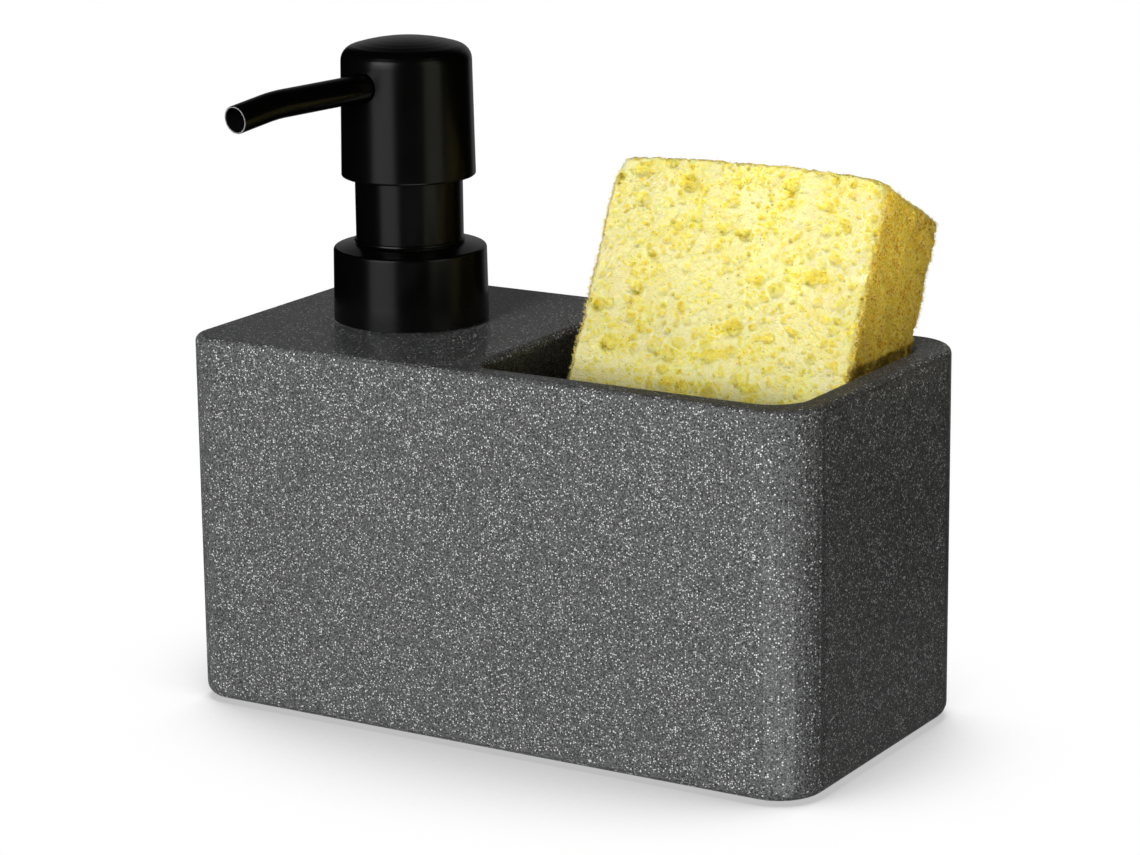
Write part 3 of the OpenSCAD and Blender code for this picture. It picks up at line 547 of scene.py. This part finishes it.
# Dip tube: extruded polyethylene, see-through but cloudy, with fine lines along it
# from the die.
clear, tree, shader, place = finish("cloudy_tube")
drawn = add(tree, "Mapping", {"Vector": place, "Scale": (1.0, 1.0, 0.02)}).outputs[0]
lines = noise(tree, drawn, 2500.0, 2.0)
plug(tree, shader, {"Base Color": tone(232, 236, 236), "Transmission Weight": 0.75,
                    "Roughness": spread(tree, lines, 0.3, 0.7, 0.22, 0.34),
                    "Normal": bump(tree, lines, 0.00002)})
wear(clear, "dip_tube")


# Neck gasket: a washer punched from white polyethylene foam with fine closed cells.
white_foam = foam_finish("washer_foam", 3200.0, tone(228, 228, 222), tone(196, 196, 190), 0.85, 0.00012)
wear(white_foam, "neck_gasket")


# Spring and inlet ball: stainless steel. The wire is drawn and coiled right-handed with a
# closed turn at each end, and the ball is ground and faintly scratched.
steel, tree, shader, place = finish("drawn_steel")
scratch = noise(tree, place, 5000.0, 3.0, distortion=3.0)
plug(tree, shader, {"Base Color": blend_colour(tree, scratch, tone(186, 188, 191), tone(212, 213, 215)),
                    "Metallic": 1.0, "Roughness": spread(tree, scratch, 0.3, 0.7, 0.2, 0.32),
                    "Normal": bump(tree, scratch, 0.000008)})
wear(steel, "inlet_ball")

WIRE_R, COIL_R, COIL_STEPS, WIRE_SIDES = 0.00045, 0.0051, 40, 14
CLOSED_RISE, CLOSED_TURNS, OPEN_TURNS = 0.00092, 1.0, 6.0
ALL_TURNS = OPEN_TURNS + 2 * CLOSED_TURNS

coil_low, coil_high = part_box("return_spring")
turns = np.linspace(0, ALL_TURNS, int(ALL_TURNS * COIL_STEPS) + 1)
climb = coil_high[2] - coil_low[2] - 2 * WIRE_R
rise = np.interp(turns, (0, CLOSED_TURNS, CLOSED_TURNS + OPEN_TURNS, ALL_TURNS),
                 (0, CLOSED_RISE, climb - CLOSED_RISE, climb))
side = 2 * math.pi * np.arange(WIRE_SIDES) / WIRE_SIDES
wire = WIRE_R * np.clip(np.minimum(turns, turns[-1] - turns) * COIL_STEPS, 0.3, 1)[:, None]
height = (coil_low[2] + WIRE_R + rise)[:, None] - wire * np.sin(side)
points = round_pump(COIL_R + wire * np.cos(side), 2 * math.pi * turns[:, None], height)
faces = closed_run(len(turns), WIRE_SIDES)[:, ::-1]
spring = mesh_of("coil_spring", points, faces, "pump", steel)
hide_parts("return_spring")
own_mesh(spring)


# Sponge: a block of cellulose foamed round salt crystals of many sizes, which are
# washed out again and leave round holes. It lies loose in its bay and leans back.
LEAN = math.radians(26.5088)
SPONGE = np.array((0.0714, 0.031, 0.1224))
SPONGE_AREA = 2 * (SPONGE[0] * SPONGE[1] + SPONGE[1] * SPONGE[2] + SPONGE[2] * SPONGE[0])
SPONGE_R, FACE_R, FOOT_EASE = 0.0026, 0.0012, (0.006, 0.02)
SWELL, CROWN, SKIN_STEP = 0.0005, 0.001, 0.00036
# The second direction points across a hollow from the wall that faces away from the light, where painted
# shade goes.
STRETCH, FROM_SHADED_WALL = np.array((0.95, 0.8, 1.08)), np.array((0.6, 0.0, -0.8))
rng = np.random.default_rng(4711)


def skin_lattice(counts):
    """Closed skin of a box divided into equal cells: the whole-number places on its six
    sides, each once, and the quads between them, which face outwards."""
    sides = []
    for axis in range(3):
        a, b = (axis + 1) % 3, (axis + 2) % 3
        for level in (0, counts[axis]):
            grids = np.meshgrid(np.arange(counts[a]), np.arange(counts[b]), indexing="ij")
            i, j = (grid.ravel() for grid in grids)
            quad = np.full((4, i.size, 3), level)
            for corner, (di, dj) in enumerate(((0, 0), (1, 0), (1, 1), (0, 1))):
                quad[corner, :, a], quad[corner, :, b] = i + di, j + dj
            sides.append(quad if level else quad[::-1])
    corners = np.concatenate(sides, axis=1)
    shape = tuple(count + 1 for count in counts)
    keys, index = np.unique(np.ravel_multi_index(np.moveaxis(corners, 2, 0), shape), return_inverse=True)
    return np.stack(np.unravel_index(keys, shape), axis=1), index.reshape(corners.shape[:2]).T


def soft_block(places, counts):
    """The sponge's skin and its outward directions, upright and centred on its foot. Seen
    from the front its corners are quarter circles of the sponge radius; the edges round
    the two broad faces are quarter circles of the face radius, which grows to the sponge
    radius at the foot. The faces and the top swell towards the middle of the width."""
    x, y, z = ((places / counts - (0.5, 0.5, 0)) * SPONGE).T
    half_x, half_y = SPONGE[0] / 2, SPONGE[1] / 2
    core = np.stack((np.clip(x, SPONGE_R - half_x, half_x - SPONGE_R),
                     np.clip(z, SPONGE_R, SPONGE[2] - SPONGE_R)), axis=1)
    past = np.stack((x, z), axis=1) - core
    rim = np.abs(past).max(1)
    aside = past / np.maximum(np.linalg.norm(past, axis=1), 1e-12)[:, None]
    radius = np.interp(z, FOOT_EASE, (SPONGE_R, FACE_R))
    a, b = np.maximum(rim - SPONGE_R + radius, 0), np.maximum(np.abs(y) - half_y + radius, 0)
    long = np.hypot(a, b)
    rim = np.minimum(rim, SPONGE_R - radius) + radius * a / long
    depth = np.sign(y) * (np.minimum(np.abs(y), half_y - radius) + radius * b / long)
    plane = core + aside * rim[:, None]
    end = np.clip(plane[:, 0] / (half_x - SPONGE_R), -1, 1) ** 2
    depth, height = depth * (1 - SWELL * end / half_y), plane[:, 1] * (1 - CROWN * end / SPONGE[2])
    outward = np.stack((aside[:, 0] * a / long, np.sign(y) * b / long, aside[:, 1] * a / long), axis=1)
    return np.stack((plane[:, 0], depth, height), axis=1), outward


def ripple(points, lengths, number):
    """A smooth random field from -1 to 1: the mean of plane waves with seeded directions,
    phases and lengths between two bounds, scaled to its own spread."""
    ways = rng.normal(size=(number, 3))
    ways *= (2 * math.pi / rng.uniform(*lengths, number) / np.linalg.norm(ways, axis=1))[:, None]
    field = np.cos(points @ ways.T + rng.uniform(0, 2 * math.pi, number)).sum(1)
    return np.clip(field / (2 * field.std()), -1, 1)


def opened(points, inward, centres, radii, reached):
    """Depth to which round bubbles open the skin, how near each point lies to the middle
    of its hollow, from 0 at the rim to 1, and how far it lies up the wall that faces away
    from the light, where painted shade goes. A point p inside a bubble of centre c and
    radius r goes inward along d to its far wall: the larger root t of |p + t d - c| = r,
    with all lengths stretched so that the bubbles are oval. The value reached is what r
    squared less the distance squared comes to in the middle of a hollow. Points and
    bubbles are first sorted into boxes."""
    cell = radii.max()
    points, inward, centres = points * STRETCH, inward * STRETCH, centres * STRETCH
    lowest = np.minimum(points.min(0), centres.min(0)) - 2 * cell
    spans = ((np.maximum(points.max(0), centres.max(0)) + 2 * cell - lowest) / cell).astype(int) + 1
    boxed = [((p - lowest) / cell).astype(int) for p in (points, centres)]
    point_box = np.ravel_multi_index(boxed[0].T, spans)
    order = np.argsort(point_box, kind="stable")
    point_box = point_box[order]
    depth, middle, shaded_wall = np.zeros((3, len(points)))
    for step in np.ndindex(3, 3, 3):
        wanted = np.ravel_multi_index((boxed[1] + step - 1).T, spans)
        first = np.searchsorted(point_box, wanted, "left")
        count = np.searchsorted(point_box, wanted, "right") - first
        bubble = np.repeat(np.arange(len(centres)), count)
        point = order[np.arange(count.sum()) + np.repeat(first - np.cumsum(count) + count, count)]
        across, line = centres[bubble] - points[point], inward[point]
        a, b = (line * line).sum(1), (across * line).sum(1)
        c = (across * across).sum(1) - radii[bubble] ** 2
        hit = c < 0
        far = (b[hit] + np.sqrt(b[hit] ** 2 - a[hit] * c[hit])) / a[hit]
        np.maximum.at(depth, point[hit], far)
        np.maximum.at(middle, point[hit], -c[hit] / reached[bubble[hit]])
        np.maximum.at(shaded_wall, point[hit], across[hit] @ FROM_SHADED_WALL / np.sqrt(reached[bubble[hit]]))
    return depth, np.minimum(middle, 1), np.minimum(shaded_wall, 1)


def bubbles(skin, outward, per_area, sizes, rise):
    """Seeded bubbles along the skin: a number for each square metre, radii between two
    sizes with more small ones, and centres that stand out of the skin by a share of
    their radius between two bounds. The last value is r squared less the centre's
    distance squared, which the middle of a hollow reaches."""
    number = int(per_area * SPONGE_AREA)
    at = rng.integers(0, len(skin), number)
    radii = sizes[0] * (sizes[1] / sizes[0]) ** (rng.random(number) ** 1.5)
    share = rng.uniform(*rise, number)
    centres = skin[at] + outward[at] * (radii * share)[:, None]
    return centres, radii, radii ** 2 * np.maximum(1 - share ** 2, 0.05)


def leaned(points):
    """Turns upright sponge points back by the lean and sets them in the bay, with the
    rounded front edge of the foot where the CAD solid has it."""
    low, high = (np.array(corner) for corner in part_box("sponge"))
    foot = SPONGE[1] - 2 * SPONGE_R
    x, y, z = (points + (0, SPONGE[1] / 2 - SPONGE_R, -SPONGE_R)).T
    back = y * math.cos(LEAN) + z * math.sin(LEAN) + low[1] + SPONGE_R
    up = z * math.cos(LEAN) - y * math.sin(LEAN) + low[2] + SPONGE_R + foot * math.sin(LEAN)
    return np.stack((x + (low[0] + high[0]) / 2, back, up), axis=1)


# Bubbles that open the skin: how many to the square metre, their radii, how far their
# centres stand out of it in radii, and how strongly painted shade deepens their hollows
HOLLOWS = ((28e3, (0.0013, 0.0032), (0.74, 0.94), 0.38), (80e3, (0.0007, 0.0013), (0.5, 0.92), 0.6),
           (180e3, (0.00035, 0.0007), (0.15, 0.88), 0.72), (220e3, (0.00025, 0.0004), (-0.3, 0.7), 0.5))
INNER_BUBBLES, INNER_FROM, DEEPEST = (200e3, (0.0004, 0.0009), (0.8, 3.0)), 0.0002, 0.003
WEAR_FROM, CORNER_WEAR, CORNER_REACH = (0.01, 0.03), 0.0012, (0.0008, 0.0045)
# Waves of the worn skin: their height, their lengths and how many are added up
WAVES, WAVE_SINK = ((0.00022, (0.006, 0.016), 40), (0.0002, (0.0015, 0.004), 60)), 0.0002

counts = tuple(int(round(side / SKIN_STEP)) for side in SPONGE)
places, quads = skin_lattice(counts)
skin, outward = soft_block(places, counts)
waves = sum(tall * ripple(skin, lengths, number) for tall, lengths, number in WAVES) - WAVE_SINK
worn = np.interp(skin[:, 2], WEAR_FROM, (0, 1)) * waves
corner = np.hypot(SPONGE[0] / 2 - np.abs(skin[:, 0]), SPONGE[2] - skin[:, 2])
worn -= CORNER_WEAR * np.interp(corner, CORNER_REACH, (1, 0)) ** 1.5
skin = skin + outward * worn[:, None]
deep, hollow_shade = np.zeros((2, len(skin)))
for per_area, sizes, rise, strength in HOLLOWS:
    depth, middle, shaded_wall = opened(skin, -outward, *bubbles(skin, outward, per_area, sizes, rise))
    # Painted shade: a hollow's yellow deepens towards its middle and most up the wall that faces away from
    # the light.
    painted_shade = strength * np.minimum(4 * middle, 1) * (0.28 + 0.08 * middle + 0.55 * shaded_wall)
    deep, hollow_shade = np.maximum(deep, depth), np.maximum(hollow_shade, painted_shade)
depth = opened(skin - outward * deep[:, None], -outward, *bubbles(skin, -outward, *INNER_BUBBLES))[0]
deep = np.minimum(deep + depth * (deep > INNER_FROM), DEEPEST)
carved = skin - outward * deep[:, None]

# Small pores: round marks of painted shade, deeper yellow, most on the side that faces away from the light
# (upper left).
SHADED_SIDE_WAY = (-0.55, 0.3, 0.78)
pores, given, result = effect("small_pores_and_shade", MARK_INPUTS, {"Mask": "Float", "Crescent_shade": "Float"})
mask, aside, radius = round_marks(pores, given, 0.12)[1:]
toward_shade = times(pores, vector(pores, "DOT_PRODUCT", aside, SHADED_SIDE_WAY), given["Cells"])
toward_shade = spread(pores, maths(pores, "DIVIDE", toward_shade, radius), -0.5, 0.6, 0.15, 1.0)
plug(pores, result, {"Mask": mask, "Crescent_shade": times(pores, mask, toward_shade)})

# Small pores: Voronoi cells to the metre, share of cells and size in cells; then how strongly each layer's
# painted shade deepens the yellow
PORES, PORE_SHADE_WEIGHTS = ((620.0, 0.5, 0.36), (1000.0, 0.5, 0.4)), (0.36, 0.3)
THREAD_CELLS, WAVER = 950.0, (0.0008, 0.0008, 0.0008)
# FULLY_SUNK: the depth at which the painted shade of a hollow is deepest.
FULLY_SUNK, CUT_FROM, CUT_SPAN = 0.0016, 0.55, 0.3
# Ramp from pale cream to deep gold. Its low end is the foam's own colour, and its deeper stops carry the
# painted shade of hollows and pores.
FOAM_AND_SHADE_COLOURS = ((0.0, tone(227, 219, 160)), (0.14, tone(226, 217, 138)), (0.36, tone(229, 214, 98)),
                (0.64, tone(228, 202, 62)), (1.0, tone(214, 172, 22)))

cellulose, tree, shader, place = finish("yellow_cellulose")
cut_end = marked(tree, "cut_end")
waver = add(tree, "TexNoise", {"Vector": place, "Scale": 700.0, "Detail": 2.0}).outputs["Color"]
shifted = vector(tree, "ADD", place, vector(tree, "MULTIPLY", waver, WAVER))
lines = add(tree, "TexVoronoi", {"Vector": shifted, "Scale": THREAD_CELLS},
            feature="DISTANCE_TO_EDGE").outputs["Distance"]
speck = noise(tree, place, 1500.0, 3.0, 0.7)
drift = noise(tree, place, 160.0, 2.0)
# low picks the ramp's colour. The hollow and depth terms and the pore crescents are painted shade. The speck,
# drift and thread terms are the foam's own grain.
low = plus(tree, times(tree, marked(tree, "hollow"), 0.8), times(tree, marked(tree, "sunk"), 0.2),
           spread(tree, speck, 0.35, 0.7, -0.05, 0.1), spread(tree, drift, 0.35, 0.65, -0.05, 0.16),
           spread(tree, lines, 0.0, 0.16, -0.14, 0.04))
small = [use(tree, pores, place=shifted, cells=number, share=share, size=size)
         for number, share, size in PORES]
low = plus(tree, low, *(times(tree, pore["Crescent_shade"], weight) for pore, weight in zip(small, PORE_SHADE_WEIGHTS)))
ramp = add(tree, "ValToRGB", {0: low})
stops = ramp.color_ramp.elements
stops[0].color, stops[-1].color = FOAM_AND_SHADE_COLOURS[0][1], FOAM_AND_SHADE_COLOURS[-1][1]
for position, colour in FOAM_AND_SHADE_COLOURS[1:-1]:
    stops.new(position).color = colour
threads = spread(tree, lines, 0.02, 0.17, 1.0, 0.0)
# The cut ends are painted a deeper, darker gold. It is painted shade, with the warmer colour that light
# passing through the foam gives there. Their sheen is the real look of cut fibres.
shaded_end_gold = blend_colour(tree, spread(tree, low, 0.0, 0.7), tone(240, 198, 44), tone(204, 140, 4))
shaded_end_gold = blend_colour(tree, times(tree, threads, 0.75), shaded_end_gold, tone(255, 234, 130))
# Pinholes: clusters of dots with painted shade, darker where shade falls in the tiny holes. They also sink
# the bump.
pit_share = spread(tree, drift, 0.45, 0.65, 0.05, 0.35)
pinholes_and_shade = use(tree, chips, place=place, cells=1300.0, share=pit_share, size=0.26)["Mask"]
colour = blend_colour(tree, cut_end, ramp.outputs[0], shaded_end_gold)
colour = blend_colour(tree, times(tree, pinholes_and_shade, 0.6), colour, tone(140, 116, 34))
# Painted shade: reflections and bounced light see the sponge's colour darkened by four fifths, so it shows
# little in the black pump and lights little around it.
rays = add(tree, "LightPath").outputs
darkened_for_reflections = maths(tree, "MAXIMUM", rays["Is Glossy Ray"], rays["Is Diffuse Ray"])
rough = minus(tree, times(tree, speck, 0.7), spread(tree, lines, 0.02, 0.25))
rough = minus(tree, rough, plus(tree, pinholes_and_shade, times(tree, small[0]["Mask"], 1.2)))
plug(tree, shader, {"Base Color": blend_colour(tree, times(tree, darkened_for_reflections, 0.8), colour, tone(0, 0, 0)),
                    "Roughness": 0.9, "Specular IOR Level": 0.2, "Normal": bump(tree, rough, 0.00012, 0.8),
                    "Subsurface Weight": 0.3, "Subsurface Radius": (1.0, 0.62, 0.1),
                    "Subsurface Scale": 0.004, "Sheen Weight": times(tree, cut_end, 0.6),
                    "Sheen Roughness": 0.5, "Sheen Tint": tone(255, 226, 110)})

sponge = mesh_of("cellulose_sponge", leaned(carved), quads, "sponge_block", cellulose)
# hollow and sunk hold painted shade for the hollows. cut_end marks the cut ends for their sheen and their
# painted deeper gold.
mark_points(sponge, sunk=np.clip(deep / FULLY_SUNK, 0, 1), hollow=hollow_shade,
            cut_end=np.clip((np.abs(outward[:, 0]) - CUT_FROM) / CUT_SPAN, 0, 1))
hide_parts("sponge")


# Torn fibres: where the block was cut, short threads of cellulose stand off its edges
# and its cut ends. Each is a thin three-sided thread that curls and tapers.
STATIONS, THREAD_THICK, ROOT_SINK = 3, 0.00008, 0.0001
TUFT_FROM, OPEN_DEPTH = (0.03, 0.05), 0.0006


def strands(roots, aims, lengths, curl):
    """Threads from their roots: the centre line starts along its aim and bends towards a
    seeded side way with the square of the way along it, and a three-sided ring round it
    narrows from the thickness to a fifth of it. Returns points and triangles."""
    number = len(roots)
    side = np.cross(aims, rng.normal(size=(number, 3)))
    side /= np.linalg.norm(side, axis=1, keepdims=True)
    other = np.cross(aims, side)
    t = np.linspace(0, 1, STATIONS)[None, :, None]
    way = aims[:, None] * (t - 0.3 * t ** 3) + side[:, None] * curl[:, None, None] * t ** 2
    line = roots[:, None] + lengths[:, None, None] * way
    turn = 2 * math.pi * np.arange(3) / 3
    ring = side[:, None, None] * np.cos(turn)[:, None] + other[:, None, None] * np.sin(turn)[:, None]
    points = line[:, :, None] + ring * (THREAD_THICK * (1 - 0.8 * t))[..., None]
    quads = web(STATIONS, 3)
    one = np.concatenate((quads[:, (0, 1, 2)], quads[:, (0, 2, 3)], ((2, 1, 0),),
                          np.array(((0, 1, 2),)) + 3 * (STATIONS - 1)))
    faces = (one[None] + 3 * STATIONS * np.arange(number)[:, None, None]).reshape(-1, 3)
    return points.reshape(-1, 3), faces


def tufts(number, weight, lengths, lift):
    """Seeded threads on the carved skin, their roots chosen with a weight for each point.
    An aim leaves the skin at a seeded slope and leans along it. Returns points and
    triangles."""
    at = rng.choice(len(skin), number, p=weight / weight.sum())
    aims = outward[at] * rng.uniform(*lift, (number, 1)) + rng.normal(size=(number, 3)) * 0.6
    aims /= np.linalg.norm(aims, axis=1, keepdims=True)
    size = rng.uniform(*lengths, number)
    return strands(carved[at] - outward[at] * ROOT_SINK, aims, size, rng.uniform(-0.7, 0.7, number))


edge = np.abs(np.abs(outward).max(1) - 0.85) < 0.13
end_face = np.abs(outward[:, 0]) > 0.5
above = np.interp(skin[:, 2], TUFT_FROM, (0, 1)) * (deep < OPEN_DEPTH) * (outward[:, 2] < 0.5)
groups = [tufts(6800, above * edge, (0.0005, 0.0015), (0.3, 1.0)),
          tufts(5700, above * end_face, (0.0005, 0.0012), (0.2, 0.9)),
          tufts(1400, above * ~end_face, (0.0003, 0.0008), (0.0, 0.4))]
points, faces = zip(*groups)
starts = np.cumsum([0] + [len(part) for part in points[:-1]])
faces = np.concatenate([part + start for part, start in zip(faces, starts)])

fuzz, tree, shader, place = finish("cellulose_thread")
grain = spread(tree, noise(tree, place, 700.0, 1.0), 0.35, 0.65)
plug(tree, shader, {"Base Color": blend_colour(tree, grain, tone(250, 228, 104), tone(254, 240, 158)),
                    "Roughness": 0.8})
mesh_of("sponge_fibres", leaned(np.concatenate(points)), faces, "sponge_block", fuzz)
